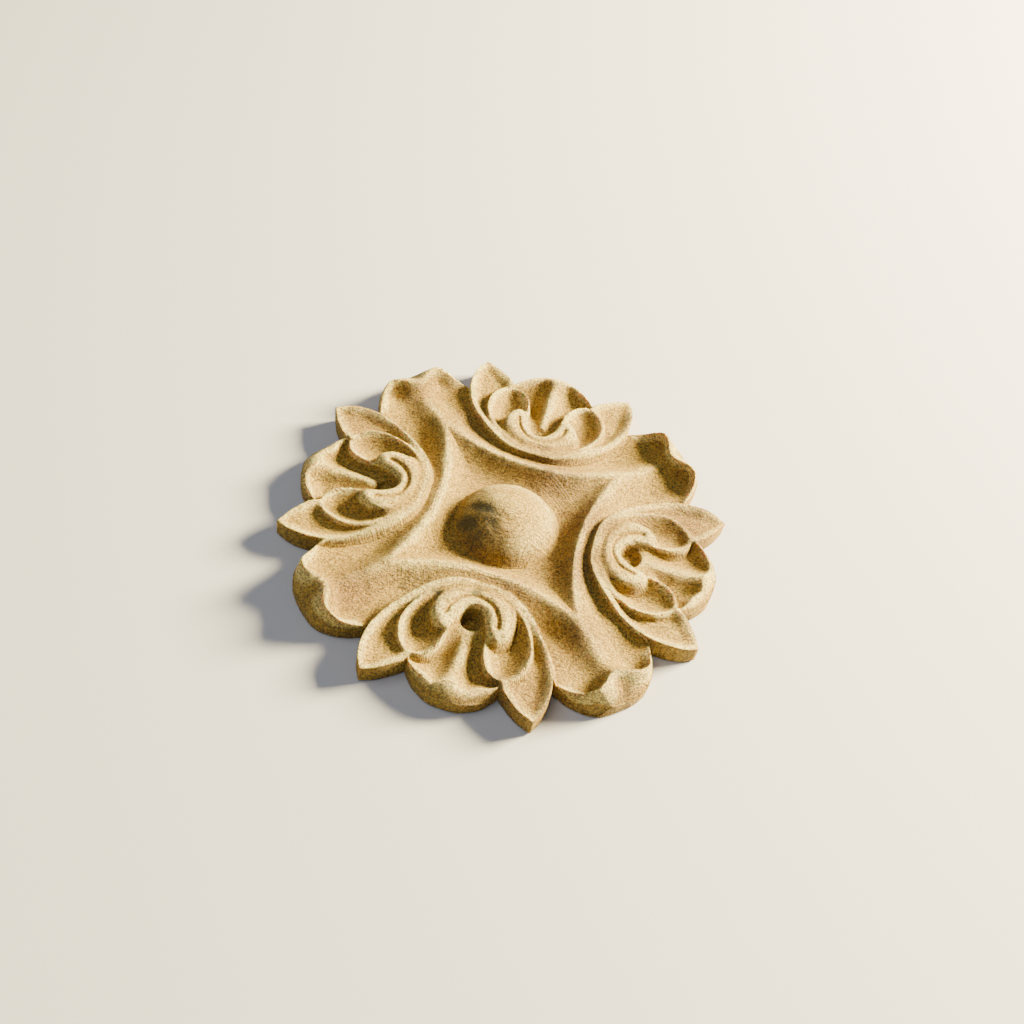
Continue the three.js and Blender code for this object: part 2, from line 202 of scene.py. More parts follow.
def ground_height(across, out, calyx, shallow):
    """Inside the bow out = start + opening * across^2, a cubic fall from the crest to a floor that
    rises along the arm. Outside it, an S-curve over the share of the way to the palmette. A
    shallow scoop's floor is higher, up to where the arm's tip turns up."""
    arm_across = (out - across) * math.sqrt(0.5)
    arm_out = (out + across) * math.sqrt(0.5)
    from_bow = (out - bow_start - bow_opening * across**2) / np.hypot(1, 2 * bow_opening * across)
    inwards = np.hypot(np.minimum(from_bow, 0), crest_softness) - crest_softness
    fall = np.maximum(1 - inwards * tip_radius / crest_width, 0) ** 3
    way_up = (arm_out - floor_rise_start) / (floor_rise_end - floor_rise_start)
    floor = floor_height + floor_rise * np.clip(way_up, 0, 1) ** floor_rise_power
    star = mix(floor, crest_height, fall)
    outwards = np.maximum(soft_min(np.maximum(from_bow, 0), arm_across, valley_softness), 0)
    outwards = np.hypot(outwards, ridge_softness) - ridge_softness
    width = soft_min(outwards + np.maximum(-calyx, 0) + tiny, scoop_width, valley_softness)
    at_crest = ease(0.0, side_slope_start, side_slope_end)
    share = ease(outwards / width, side_slope_start, side_slope_end)
    share = (share - at_crest) / (1 - at_crest)
    crest = mix(crest_height, arm_ridge_height, ease(arm_out, *arm_ridge_fall))
    raised = shallow * (1 - ease(arm_out, *shallow_scoop_end))
    scoop = scoop_height + shallow_scoop_rise * raised
    low = mix(channel_height, scoop, ease(arm_out, *channel_fall))
    return np.where(from_bow < 0, star, mix(crest, low, share))


def with_dome(height, from_centre):
    """A cap of a ball joined to the ground by a smooth maximum as wide as the fillet."""
    cap = np.sqrt(np.maximum(dome_radius**2 - (from_centre * tip_radius) ** 2, 0))
    dome = dome_height - dome_radius + cap
    t = np.clip(0.5 + 0.5 * (dome - height) / dome_fillet, 0, 1)
    return mix(height, dome, t) + dome_fillet * t * (1 - t)


# Carved rosette: the turned-up tips of the arms
# Each arm ends in a leaf tip that turns up and rolls outwards: a hollow cove inside, a thin rim
# pinched in the middle, and a broad rounded lip outside it down to the board's edge.
arm_tip_height = 7.6
arm_side_height = 4.3
arm_pinch = 0.3
arm_pinch_reach = 0.07
arm_rim_fall = (0.12, 0.225)
arm_rim_end = 0.245
cove_reach = 0.1
cove_power = 4
lip_fall = 0.68
lip_power = 1.6

# One lip is bevelled beyond a crease through this place, with slopes in mm to a tip radius
bevel_across, bevel_out = 0.115, 0.92
bevel_turn = 0.75
bevel_slope = 90.0
bevel_wall = 110.0
bevel_softness = 0.4
bevel_foot = 0.6


def with_arm_tip(height, across, out, bevelled):
    """Inside the rim, the rim's height times a falling power of the distance to the rim. Outside
    it, the rim's height less a power of the share of the way from the rim to the edge. A
    bevelled lip is also cut down steeply beyond a crease that runs from the rim to the edge."""
    rim = distance_to(arm_rim_line, False, across, out)
    edge = np.maximum(distance_to(arm_tip_line, True, across, out), 0)
    rim_height = mix(arm_tip_height, arm_side_height, ease(across, *arm_rim_fall))
    rim_height = rim_height - arm_pinch * (1 - ease(across, 0, arm_pinch_reach))
    lip = rim_height * (1 - lip_fall * (rim / (rim + edge + tiny)) ** lip_power)
    beyond_crease = np.maximum(across - bevel_across + bevel_turn * (out - bevel_out), 0)
    cut = soft_min(bevel_slope * beyond_crease, bevel_wall * rim, bevel_softness)
    cut = np.maximum(cut, 0)
    lip = np.where(bevelled, np.maximum(lip - cut, bevel_foot), lip)
    cove = np.maximum(1 - rim / cove_reach, 0) ** cove_power
    cove = cove * np.maximum(rim_height - height, 0)
    rim_out = np.interp(across, arm_rim_line[:, 0], arm_rim_line[:, 1])
    return np.where((out > rim_out) & (across < arm_rim_end), lip, height + cove)


# Carved rosette: the palmettes
# Each is a ribbed middle lobe at the back, a pair of pointed leaves on one common base, a pair of
# rounded spoon leaves on those, and a pair of small grooved volutes round a deep eye on top.

# Heights and walls are in mm. What isn't a share or a power is in shares of the tip radius, and a
# pair is where a change starts and ends.
calyx_height = 7.0
wall_width = 0.9
wall_outside = 0.67
pointed_height = 5.4
pointed_fall = (0.4, 0.66)
pointed_tip_fall = 0.7
pointed_tip = (0.82, 0.93)
pointed_rim = (-0.004, 0.065)
pointed_hollow = 1.5
pointed_hollow_start = (0.46, 0.62)
pointed_hollow_loss = 0.4
pointed_hollow_end = (0.76, 0.93)
spoon_height = 5.9
spoon_fall = (0.42, 0.62)
spoon_tip_fall = 0.5
spoon_tip = (0.7, 0.8)
spoon_hollow = 2.6
spoon_hollow_start = (0.42, 0.56)
spoon_rim = 0.003
spoon_slope = 0.095
volute_height = 6.95
volute_fall = 0.2
volute_fall_span = (0.5, 0.64)
volute_crown = 0.5
volute_crown_reach = 0.035
volute_wall_width = 1.7
groove_depth = 0.55
groove_width = 0.0115
eye_centre = 0.558
eye_radius = 0.058
eye_wall = 0.024
eye_end = (0.58, 0.64)

# The middle lobe: its outline, its rim, the face outside the rim, and the rib. Its peak and the
# slope of its face grow with the rim's inset.
lobe_start = 0.48
lobe_seam = 0.004
lobe_reach = 0.95
lobe_narrowing = 6.19
lobe_power = 2.4
lobe_height = 4.9
lobe_peak = 22.0
lobe_peak_reach = 0.075
lobe_peak_setback = 0.6
lobe_side_loss = 0.8
lobe_side = (0.1, 0.2)
lobe_curl = 0.085
lobe_face_gap = 0.004
lobe_face_slope = 9
lobe_face_most = 0.55
lobe_face_power = 1.7
throat_end = (0.61, 0.75)
rib_start = (0.56, 0.66)
rib_widths = (0.02, 0.05)
rib_widening = (0.58, 0.85)
rib_height = 4.9
rib_fall = 0.3
rib_fall_span = (0.62, 0.88)

# The carver's hand varies: these heights and insets in mm go by the direction in degrees
palmette_directions = [-90, 0, 90, 180]
eye_heights = [2.6, 3.4, 3.4, 2.8]
throat_heights = [4.9, 4.9, 3.7, 3.7]
hollow_directions = [0, 89, 93, 106, 120]
hollow_heights = [2.7, 2.7, 1.5, 1.5, 2.7]
rim_directions = [-8, 8, 90, 172, 188, 262, 278, 352]
rim_insets = [2.8, 1.0, 0.9, 3.0, 1.2, 2.3, 2.6, 2.8]


def leaf_wall(inside, width):
    """The share of its height that a leaf has at a distance inside its outline."""
    return ease(inside * tip_radius, -wall_outside * width, (1 - wall_outside) * width)


def lobe_surface(across, out, direction):
    """A rib with a bell-shaped section over two hollows, curving up to a rim inside the outline
    out = reach - narrowing * across^power. The face outside the rim falls by a power of the way.
    In its middle the rim is higher and further in."""
    inset = np.interp(direction, rim_directions, rim_insets, period=360) / tip_radius
    middle = 1 - ease(across, 0, lobe_peak_reach)
    edge_out = lobe_reach - lobe_narrowing * across**lobe_power
    setback = 1 + lobe_peak_setback * middle
    side_share = 1 - lobe_side_loss * ease(across, *lobe_side)
    rim_out = edge_out - inset * setback * side_share
    rim = lobe_height + lobe_peak * inset * middle
    way_down = np.clip((out - rim_out) / (edge_out - rim_out + lobe_face_gap), 0, 1)
    face_fall = np.minimum(lobe_face_slope * inset, lobe_face_most)
    outside = rim * (1 - face_fall * way_down**lobe_face_power)

    rib_width = mix(*rib_widths, ease(out, *rib_widening))
    rib = np.exp(-((across / rib_width) ** 2)) * ease(out, *rib_start)
    throat = np.interp(direction, palmette_directions, throat_heights, period=360)
    low = np.interp(direction, hollow_directions, hollow_heights, period=360)
    hollow = mix(throat, low, ease(out, *throat_end))
    inside = mix(hollow, rib_height - rib_fall * ease(out, *rib_fall_span), rib)
    inside = mix(inside, rim, np.maximum(1 - np.abs(rim_out - out) / lobe_curl, 0) ** 2)
    return np.where(out > rim_out, outside, inside)


def carved_height(x, y):
    """Height of the carved face in mm over the back, at places in shares of the tip radius. Each
    leaf is laid over what is below it by its wall's share."""
    across = np.minimum(np.abs(x), np.abs(y))
    out = np.maximum(np.abs(x), np.abs(y))
    calyx = distance_to(calyx_line, True, across, out)
    lobe = distance_to(lobe_line, True, across, out)
    spoon = distance_to(spoon_line, True, across, out)
    volute = distance_to(volute_line, True, across, out)
    groove = distance_to(groove_line, False, across, out)

    # Two arms have a shallower scoop on one side, and one of them a bevelled lip on the other
    shallow = (x * y < 0) & (x + y > 0)
    bevelled = (x > 0) & (y < 0) & (-y > x)
    height = ground_height(across, out, calyx, shallow)
    height = with_arm_tip(
        height, (out - across) * math.sqrt(0.5), (out + across) * math.sqrt(0.5), bevelled)
    height = with_dome(height, np.hypot(across, out))
    direction = np.degrees(np.arctan2(y, x))
    on_lobe = ease(lobe, -lobe_seam, lobe_seam) * (out > lobe_start)
    height = mix(height, lobe_surface(across, out, direction), on_lobe)

    rim = mix(calyx_height, pointed_height, ease(out, *pointed_fall))
    rim = rim - pointed_tip_fall * ease(out, *pointed_tip)
    hollow = pointed_hollow * ease(out, *pointed_hollow_start) * ease(calyx, *pointed_rim)
    hollow = hollow * (1 - pointed_hollow_loss * ease(out, *pointed_hollow_end))
    height = mix(height, rim - hollow, leaf_wall(calyx, wall_width))

    rim = mix(calyx_height, spoon_height, ease(out, *spoon_fall))
    rim = rim - spoon_tip_fall * ease(out, *spoon_tip)
    bowl = 1 - np.clip(1 - (spoon - spoon_rim) / spoon_slope, 0, 1) ** 2
    hollow = spoon_hollow * ease(out, *spoon_hollow_start) * bowl
    height = mix(height, rim - hollow, leaf_wall(spoon, wall_width))

    in_eye = ease(eye_radius - np.hypot(across, out - eye_centre), 0, eye_wall)
    eye_height = np.interp(direction, palmette_directions, eye_heights, period=360)
    height = mix(height, eye_height, in_eye * (1 - ease(out, *eye_end)))

    top = volute_height - volute_fall * ease(out, *volute_fall_span)
    top = top + volute_crown * ease(volute, 0, volute_crown_reach)
    top = top - groove_depth * np.exp(-((groove / groove_width) ** 2))
    return mix(height, top, leaf_wall(volute, volute_wall_width))


# Carved rosette: what the cutter, the saw and use left on it
# The cut face is slightly lumpy, a small cutter has chattered in one scoop, and dark dents mark the
# dome and two palmettes. Each size of lump has a spacing and a depth in mm, and a seed.
lumps = [(4.6, 0.11, 11), (1.7, 0.06, 12), (0.8, 0.035, 13)]
lattice_points = 256

# Each dent's middle x and y, half length and half width in mm, turn in degrees, share of the depth
dents = [
    (-5.9, -1.5, 4.6, 1.2, -20, 1.0), (-8.0, -4.7, 3.1, 1.8, -36, 0.95),
    (-2.7, -4.8, 2.3, 1.3, -40, 0.6), (-5.2, -8.0, 2.6, 2.0, -30, 0.6),
    (-8.7, -24.7, 1.2, 1.0, 0, 0.7), (-0.9, -22.2, 1.4, 1.1, 40, 0.8),
    (6.7, -30.6, 1.6, 0.7, -50, 0.6), (8.5, -39.5, 2.6, 1.5, 60, 0.45),
]
dent_depth = 0.3
chatter_x, chatter_y = -23.5, -26.7
chatter_reach = 1.5
chatter_depth = 0.12
chatter_step = 0.9
chatter_lean = 0.6


def rough(x, y, spacing, seed):
    """Value noise: seeded random numbers from -1 to 1 on a square lattice, and between its points
    a mix of the nearest four by 3t^2 - 2t^3."""
    lattice = np.random.default_rng(seed).uniform(-1, 1, (lattice_points, lattice_points))
    column, row = x / spacing + lattice_points // 2, y / spacing + lattice_points // 2
    i, j = np.floor(column).astype(int), np.floor(row).astype(int)
    s, t = ease(column - i, 0, 1), ease(row - j, 0, 1)
    next_i, next_j = (i + 1) % lattice_points, (j + 1) % lattice_points
    i, j = i % lattice_points, j % lattice_points
    near = mix(lattice[i, j], lattice[next_i, j], s)
    far = mix(lattice[i, next_j], lattice[next_i, next_j], s)
    return mix(near, far, t)


def dent_share(x, y):
    """The deepest of the dents' bells share * exp(-d^2), with d the distance in half lengths and
    widths along and across each dent."""
    share = np.zeros(x.shape)
    for centre_x, centre_y, half_length, half_width, turn, depth_share in dents:
        c, s = math.cos(math.radians(turn)), math.sin(math.radians(turn))
        along = ((x - centre_x) * c + (y - centre_y) * s) / half_length
        beside = ((y - centre_y) * c - (x - centre_x) * s) / half_width
        share = np.maximum(share, depth_share * np.exp(-(along**2) - beside**2))
    return share


def finished_height(x, y):
    """The carved height in mm with its lumps, dents and the cutter's chatter, which is a sine wave
    under a bell. It is nowhere over the dome's top."""
    height = carved_height(x / tip_radius, y / tip_radius)
    for spacing, depth, seed in lumps:
        height = height + depth * rough(x, y, spacing, seed)
    from_chatter = np.hypot(x - chatter_x, y - chatter_y) / chatter_reach
    wave = np.sin(2 * math.pi * (x - chatter_lean * y) / chatter_step)
    height = height + chatter_depth * wave * np.exp(-(from_chatter**2))
    return np.minimum(height - dent_depth * dent_share(x, y), dome_height)


# Carved rosette: the mesh
# The board is sawn to outline, so its edge stands upright on the flat back. Rows run round the
# rosette and columns straight out from its middle, through the leaf tips and their notches.
columns = 640
crease_parts = [0, 10, 15, 20, 32]
dome_rows = 22
dome_share = 0.26
leaf_rows = 124
arc_radius = 0.9 * tip_radius
innermost_edge, outermost_edge = 0.8, 1.05
edge_halvings = 24

# The saw left the outline rough by this much in mm, at two spacings with their seeds
outline_roughness = 0.28
rough_lines = [(0.9, 21), (2.6, 22)]

# The rounded edge's rings go by inset and depth in its radius, the wall's by share of its height,
# and the back's by inset in mm
edge_round = 0.22
edge_rings = [(0.3, 0.7), (0, 1.3)]
wall_rings = [0.8, 0.55, 0.3, 0.06]
back_rings = [0.2, 1.2]


def edge_radius(angle):
    """The outermost radius that is inside a leaf's outline at each angle, by halving a span."""
    inner = np.full(angle.shape, innermost_edge)
    outer = np.full(angle.shape, outermost_edge)
    for _ in range(edge_halvings):
        middle = (inner + outer) / 2
        across, out = middle * np.sin(angle), middle * np.cos(angle)
        arm_across, arm_out = (out - across) * math.sqrt(0.5), (out + across) * math.sqrt(0.5)
        reach = distance_to(calyx_line, True, across, out)
        reach = np.maximum(reach, distance_to(lobe_line, True, across, out))
        reach = np.maximum(reach, distance_to(arm_tip_line, True, arm_across, arm_out))
        inner = np.where(reach > 0, middle, inner)
        outer = np.where(reach > 0, outer, middle)
    return inner


def column_turns():
    """Each column's turn, and the outline's radius there in mm. The creases of an eighth part its
    columns, with even turns between two creases, and each next eighth is mirrored."""
    per_eighth = columns // 8
    tip, notch = [point[:2] for point in calyx_half if len(point) > 2]
    tip_angle = math.atan2(*tip)
    notch_angle = math.atan2(*notch)
    search = np.linspace(tip_angle, math.pi / 5, 400)
    gap_angle = search[np.argmin(edge_radius(search))]
    creases = [0, notch_angle, tip_angle, gap_angle, math.pi / 4]
    crease_columns = per_eighth * np.array(crease_parts) // crease_parts[-1]
    angle = np.interp(np.arange(per_eighth + 1), crease_columns, creases)
    edge = edge_radius(angle) * tip_radius
    folded = np.concatenate([np.arange(per_eighth), np.arange(per_eighth, 0, -1)])
    folded = np.tile(folded, 4)
    quarter = np.repeat(np.arange(4), 2 * per_eighth) * math.pi / 2
    falling = np.tile(np.repeat([False, True], per_eighth), 4)
    return quarter + np.where(falling, math.pi / 2 - angle[folded], angle[folded]), edge[folded]


def rosette_places():
    """Rings of places in mm. On the face a column's radius goes from a round arc to the outline
    with the third power of the way out. Then come the rounded edge, the wall and the back."""
    turn, edge = column_turns()
    side = np.stack([np.cos(turn), np.sin(turn)], -1)
    edge_x, edge_y = edge * side[:, 0], edge * side[:, 1]
    nicks = sum(rough(edge_x, edge_y, spacing, seed) for spacing, seed in rough_lines)
    edge = edge - outline_roughness * (0.5 + 0.25 * nicks)
    dome_row = np.linspace(0, dome_share, dome_rows, endpoint=False)
    row = np.concatenate([dome_row, np.linspace(dome_share, 1, leaf_rows)])[1:]
    radius = row[:, None] * mix(arc_radius, (edge - edge_round)[None, :], row[:, None] ** 3)
    face = radius[:, :, None] * side
    height = finished_height(face[:, :, 0], face[:, :, 1])
    rings = [np.concatenate([face, height[:, :, None]], -1)]
    top = height[-1]
    for inset, depth in edge_rings:
        ring = side * (edge - inset * edge_round)[:, None]
        rings.append(np.column_stack([ring, top - depth * edge_round])[None])
    for share in wall_rings:
        rings.append(np.column_stack([side * edge[:, None], top * share])[None])
    for inset in back_rings:
        rings.append(np.column_stack([side * (edge - inset)[:, None], np.zeros(columns)])[None])
    return np.concatenate(rings)


def rosette_mesh(places):
    """One closed skin: a quad between each four neighbours on two rings, and two fans."""
    rows = len(places)
    points = np.vstack([places.reshape(-1, 3), [0, 0, dome_height], [0, 0, 0]])
    row, column = np.meshgrid(np.arange(rows - 1), np.arange(columns), indexing="ij")
    after = (column + 1) % columns
    quads = np.stack([
        row * columns + column, (row + 1) * columns + column,
        (row + 1) * columns + after, row * columns + after,
    ], -1).reshape(-1, 4)
    ring = np.arange(columns)
    following = (ring + 1) % columns
    last = (rows - 1) * columns
    top_fan = np.stack([np.full(columns, len(points) - 2), ring, following], -1)
    back_fan = np.stack([np.full(columns, len(points) - 1), last + following, last + ring], -1)
    mesh = bpy.data.meshes.new("carved_rosette_relief")
    faces = top_fan.tolist() + back_fan.tolist() + quads.tolist()
    mesh.from_pydata((points * MM).tolist(), [], faces)
    mesh.polygons.foreach_set("use_smooth", np.ones(len(mesh.polygons), bool))
    mesh.update()
    return mesh, points


relief_places = rosette_places()
relief_mesh, relief_points = rosette_mesh(relief_places)
relief = bpy.data.objects.new("carved_rosette_relief", relief_mesh)
bpy.context.scene.collection.objects.link(relief)
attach(relief, "root")
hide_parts("carved_rosette")

# Carved rosette: painted shade and highlight, and where its wood is stained, hatched or sawn
# Hollows and the low floor get painted shade and ridges a painted highlight. Of the brown spots
# some are stains and the others painted shade. Two attributes of three numbers each carry this to
# the finish. Each spot has a middle, a radius and a share.
stain_and_shade_spots = [
    (-26, -29, 6.5, 0.8), (11, -42, 6, 0.5), (-4, -9.5, 6, 0.6), (-29, 31, 5, 0.6),
    (6, 17, 7, 0.75), (17, 6, 7, 0.75), (17, -7, 7, 0.7), (6, -17, 5, 0.5),
    (38, 15, 8, 0.65), (18, -40, 6.5, 0.55), (-39, 15, 6, 0.5), (34, -34, 6, 0.35),
    (22, -24, 6, 0.6), (-17, 24, 6, 0.5), (30, 12, 6, 0.4),
]
# Painted shade on the low floor inside the bows, with its share and where it fades out
floor_shade = 0.2
floor_shade_top = 5.6
floor_shade_fade = 2.0
floor_shade_edge = 0.03
dome_foot = (11.0, 12.2)
stain_bottom = 3.0
close_reach, wider_reach = 1.2, 2.6
table_step = 0.5
table_reach = 52.0
palmette_shift = 40.0


def neighbour_heights(x, y, reach):
    """Mean height in mm of eight places at a reach round each place, read from a square table of
    heights by a straight mix of the nearest four."""
    steps = np.arange(-table_reach, table_reach, table_step)
    grid_x, grid_y = np.meshgrid(steps, steps, indexing="ij")
    table = carved_height(grid_x / tip_radius, grid_y / tip_radius)
    total = np.zeros(x.shape)
    for turn in np.arange(8) * math.pi / 4:
        column = (x + reach * math.cos(turn) + table_reach) / table_step
        row = (y + reach * math.sin(turn) + table_reach) / table_step
        i, j = np.floor(column).astype(int), np.floor(row).astype(int)
        s, t = column - i, row - j
        near = mix(table[i, j], table[i + 1, j], s)
        far = mix(table[i, j + 1], table[i + 1, j + 1], s)
        total += mix(near, far, t)
    return total / 8


def write_attribute(mesh, name, *values):
    """Three numbers at each point of the mesh, as one vector attribute."""
    attribute = mesh.attributes.new(name, "FLOAT_VECTOR", "POINT")
    attribute.data.foreach_set("vector", np.stack(values, -1).astype(np.float32).ravel())


point_x, point_y, point_z = relief_points.T
across = np.minimum(np.abs(point_x), np.abs(point_y)) / tip_radius
out = np.maximum(np.abs(point_x), np.abs(point_y)) / tip_radius

# The last two points are the dome's top and the back's middle
face_rings = len(relief_places) - len(edge_rings) - len(wall_rings) - len(back_rings)
sawn = np.arange(len(relief_points)) >= face_rings * columns
sawn[-2] = False
close_heights = neighbour_heights(point_x, point_y, close_reach)
wider_heights = neighbour_heights(point_x, point_y, wider_reach)
hollow = np.where(sawn, 0, 0.5 * close_heights + 0.5 * wider_heights - point_z)

# Lines across the ridges are those of one value of across * exp(2 * opening * out)
palmette = np.round(np.arctan2(point_y, point_x) / (math.pi / 2))
along_ridge = across * np.exp(2 * bow_opening * (out - bow_start)) * tip_radius
along_ridge = along_ridge + palmette_shift * palmette
normals = np.empty(len(relief_points) * 3, np.float32)
relief_mesh.vertex_normals.foreach_get("vector", normals)
steepness = 1 - np.abs(normals.reshape(-1, 3)[:, 2])
brown_stain_and_shade = np.zeros(len(relief_points))
# Brown spots: some are stains, the others painted shade
for spot_x, spot_y, spot_radius, spot_share in stain_and_shade_spots:
    away = np.hypot(point_x - spot_x, point_y - spot_y) / spot_radius
    brown_stain_and_shade = np.maximum(brown_stain_and_shade, spot_share * np.exp(-(away**2)))
# Painted shade on the low floor inside the bows and off the dome, fading out upwards
inside_bow = ease(bow_start + bow_opening * across**2 - out, 0, floor_shade_edge)
off_dome = ease(np.hypot(point_x, point_y), *dome_foot)
shaded_floor = inside_bow * off_dome * ease(floor_shade_top - point_z, 0, floor_shade_fade)
brown_stain_and_shade = np.maximum(brown_stain_and_shade, floor_shade * shaded_floor)
stained = dent_share(point_x, point_y) * (point_z > stain_bottom)
# The hollow feeds painted shade and highlight, and the brown share holds stains and painted shade
write_attribute(relief_mesh, "carving", hollow, along_ridge, steepness)
write_attribute(relief_mesh, "marks_and_shade", stained, brown_stain_and_shade, sawn)

# Wood of the onlay: pale beech, cut by a small ball cutter and left unfinished
# Fine fibres stand up on the cut, so it is matt and finely speckled. Hollows get painted shade,
# ridges a painted highlight, slopes are hatched across the ridges, and the back shows the saw.
PER_MM = 1000.0
pale_wood = "#B6943B"
# The ridge colour is a painted highlight, and the brown serves painted shade and stains
painted_highlight_wood = "#EFD77C"
stain_and_shade_brown = "#845F2B"
pore_wood = "#9C7B48"
stain_green = "#4E4A2A"
fibre_turn = math.radians(-8)
fibre_counts = (0.33, 3.0, 3.0)
speckle_count = 2.1
tone_count = 0.15
hatch_count = 2.0
ring_count = 1.7
saw_turn = math.radians(67)
saw_spacing = 1.4
saw_length = 30.0
relief_depth = 1.5

# A Mix node's sockets share their names, so its colour ones go by their places
FACTOR, COLOUR_A, COLOUR_B, MIXED = 0, 6, 7, 2

wood = bpy.data.materials.new("carved_beech")
wood.use_nodes = True
tree = wood.node_tree
shader = tree.nodes["Principled BSDF"]


def linear(hex_colour):
    """An sRGB hex colour as linear red, green and blue, and an alpha of 1."""
    parts = [int(hex_colour[k:k + 2], 16) / 255 for k in (1, 3, 5)]
    return [p / 12.92 if p <= 0.04045 else ((p + 0.055) / 1.055) ** 2.4 for p in parts] + [1]


def add_node(kind, inputs, output=0, **settings):
    """Add a node with its settings and return one output. An input given as a socket is linked,
    and any other is set."""
    node = tree.nodes.new(kind)
    for name, value in settings.items():
        setattr(node, name, value)
    for name, value in inputs.items():
        if isinstance(value, bpy.types.NodeSocket):
            tree.links.new(value, node.inputs[name])
        else:
            node.inputs[name].default_value = value
    return node.outputs[output]


place = add_node("ShaderNodeTexCoord", {}, "Object")
carving = add_node("ShaderNodeAttribute", {}, "Vector", attribute_name="carving")
carving = add_node("ShaderNodeSeparateXYZ", {"Vector": carving}).node.outputs
marks_and_shade = add_node("ShaderNodeAttribute", {}, "Vector", attribute_name="marks_and_shade")
marks_and_shade = add_node("ShaderNodeSeparateXYZ", {"Vector": marks_and_shade}).node.outputs

# Patterns, by their counts in a mm. Fibres lie along X, a third of a mm apart and 3 mm long.
# Speckle is half a mm wide, coarser than the fibre ends so that it shows, and the tone changes
# over 7 mm.
fibre_place = add_node("ShaderNodeMapping", {
    "Vector": place, "Rotation": (0, 0, fibre_turn), "Scale": [PER_MM * n for n in fibre_counts]})
fibres = add_node("ShaderNodeTexNoise", {
    "Vector": fibre_place, "Scale": 1.0, "Detail": 3.0, "Roughness": 0.6})
speckle = add_node("ShaderNodeTexNoise", {
    "Vector": place, "Scale": speckle_count * PER_MM, "Detail": 3.0, "Roughness": 0.8})
tone = add_node("ShaderNodeTexNoise", {
    "Vector": place, "Scale": tone_count * PER_MM, "Detail": 3.0})

# Hatching runs straight down the slopes, a line each half mm
hatch_wander = add_node(
    "ShaderNodeMath", {0: tone, 1: 2.0, 2: carving["Y"]}, operation="MULTIPLY_ADD")
hatch_place = add_node("ShaderNodeCombineXYZ", {"X": hatch_wander, "Y": 0.0, "Z": 0.0})
hatch = add_node("ShaderNodeTexNoise", {
    "Vector": hatch_place, "Scale": hatch_count, "Detail": 2.0, "Roughness": 0.6})
on_slope = add_node("ShaderNodeMapRange", {
    "Value": carving["Z"], "From Min": 0.05, "From Max": 0.35})
hatch_share = add_node("ShaderNodeMath", {0: hatch, 1: on_slope}, operation="MULTIPLY")

# Rings left by the cutter run round the dome and over the floor beside it, one each 0.6 mm
flat_place = add_node("ShaderNodeVectorMath", {0: place, 1: (1, 1, 0)}, operation="MULTIPLY")
from_middle = add_node("ShaderNodeVectorMath", {0: flat_place}, "Value", operation="LENGTH")
ring_place = add_node("ShaderNodeCombineXYZ", {"X": from_middle, "Y": 0.0, "Z": 0.0})
rings = add_node("ShaderNodeTexNoise", {
    "Vector": ring_place, "Scale": ring_count * PER_MM, "Detail": 1.0})
near_middle = add_node("ShaderNodeMapRange", {
    "Value": from_middle, "From Min": 24 * MM, "From Max": 16 * MM})
ring_height = add_node("ShaderNodeMath", {0: rings, 1: near_middle}, operation="MULTIPLY")

# Colour: pale wood with a painted highlight on ridges, and brown for painted shade in hollows and
# for the spots of stain and painted shade
ridge_highlight = add_node("ShaderNodeMapRange", {
    "Value": carving["X"], "From Min": -0.04, "From Max": -0.6, "To Max": 0.85})
# Painted shade: the deeper a hollow, the browner it is painted
hollow_shade = add_node("ShaderNodeMapRange", {
    "Value": carving["X"], "From Min": 0.2, "From Max": 2.2, "To Max": 0.4})
shaded_or_stained = add_node("ShaderNodeMath", {0: hollow_shade, 1: marks_and_shade["Y"]}, operation="MAXIMUM")
broken = add_node("ShaderNodeMapRange", {
    "Value": tone, "From Min": 0.25, "From Max": 0.75, "To Min": 0.65, "To Max": 1.15})
shaded_or_stained = add_node(
    "ShaderNodeMath", {0: shaded_or_stained, 1: broken}, operation="MULTIPLY", use_clamp=True)
colour = add_node("ShaderNodeMix", {
    FACTOR: ridge_highlight, COLOUR_A: linear(pale_wood), COLOUR_B: linear(painted_highlight_wood),
}, MIXED, data_type="RGBA")
colour = add_node("ShaderNodeMix", {
    FACTOR: shaded_or_stained, COLOUR_A: colour, COLOUR_B: linear(stain_and_shade_brown),
}, MIXED, data_type="RGBA")
fibre_share = add_node("ShaderNodeMapRange", {
    "Value": fibres, "From Min": 0.48, "From Max": 0.7, "To Max": 0.5})
colour = add_node("ShaderNodeMix", {
    FACTOR: fibre_share, COLOUR_A: colour, COLOUR_B: linear(pore_wood),
}, MIXED, data_type="RGBA", blend_type="MULTIPLY")

# Speckle and hatching darken it, and the dents are stained
speckle_value = add_node("ShaderNodeMapRange", {
    "Value": speckle, "From Min": 0.39, "From Max": 0.61, "To Min": 1.55, "To Max": 0.4})
hatch_value = add_node("ShaderNodeMapRange", {
    "Value": hatch_share, "From Min": 0.4, "From Max": 0.7, "To Min": 1.0, "To Max": 0.65})
cut_value = add_node("ShaderNodeMath", {0: speckle_value, 1: hatch_value}, operation="MULTIPLY")
colour = add_node("ShaderNodeHueSaturation", {"Color": colour, "Value": cut_value})
stain_share = add_node("ShaderNodeMath", {0: marks_and_shade["X"], 1: speckle}, operation="MULTIPLY")
stain_share = add_node("ShaderNodeMapRange", {
    "Value": stain_share, "From Min": 0.07, "From Max": 0.34, "To Max": 0.85})
colour = add_node("ShaderNodeMix", {
    FACTOR: stain_share, COLOUR_A: colour, COLOUR_B: linear(stain_green),
}, MIXED, data_type="RGBA")
tree.links.new(colour, shader.inputs["Base Color"])

